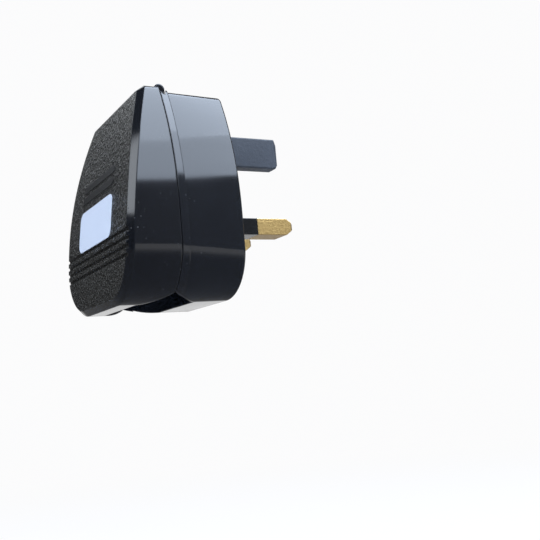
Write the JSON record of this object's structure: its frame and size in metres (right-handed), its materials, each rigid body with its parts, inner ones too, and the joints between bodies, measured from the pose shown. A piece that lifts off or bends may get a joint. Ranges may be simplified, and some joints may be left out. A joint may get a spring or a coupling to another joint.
{
  "type": "hinged plug adapter",
  "caption": "Black hinged converter plug that closes round a flat two-pin plug and gives it three flat pins, with a fuse in its pin face.",
  "frame": {"origin": "middle of the pin face, midway between the two flat pins", "axes": "+Y the way the pins point, +Z towards the earth pin and the hinge, +X across, to the right seen from behind"},
  "size_m": [0.048, 0.0514, 0.0503],
  "materials": {
    "housing_black": "gloss",
    "lid_black": "gloss walls, fine spark texture on the back panel",
    "sleeve_black": "gloss",
    "carrier_black": "satin",
    "earth_grey": "satin",
    "pin_brass": "drawn, lightly scratched",
    "copper_strip": "rolled strip",
    "steel": "plated",
    "fuse_caps": "nickel plated",
    "fuse_ceramic": "unglazed",
    "label_pale": "satin film"
  },
  "bodies": {
    "root": {"base_shell": "housing_black", "hinge_pin": "steel", "live_pin": "pin_brass", "neutral_pin": "pin_brass", "live_pin_sleeve": "sleeve_black", "neutral_pin_sleeve": "sleeve_black", "earth_pin": "earth_grey", "live_contact": "copper_strip", "neutral_contact": "copper_strip", "neutral_link": "copper_strip", "fuse_tube": "fuse_ceramic", "fuse_cap_left": "fuse_caps", "fuse_cap_right": "fuse_caps", "fuse_carrier": "carrier_black", "fuse_clip_pin": "copper_strip", "fuse_clip_load": "copper_strip", "lid_screw": "steel"},
    "lid": {"lid": "lid_black"}
  },
  "joints": [
    {"name": "lid_hinge", "type": "hinge", "parent": "root", "child": "lid", "pos_m": [0, -0.0162, 0.0313], "axis": [-1, 0, 0], "range_deg": [0, 105]}
  ]
}
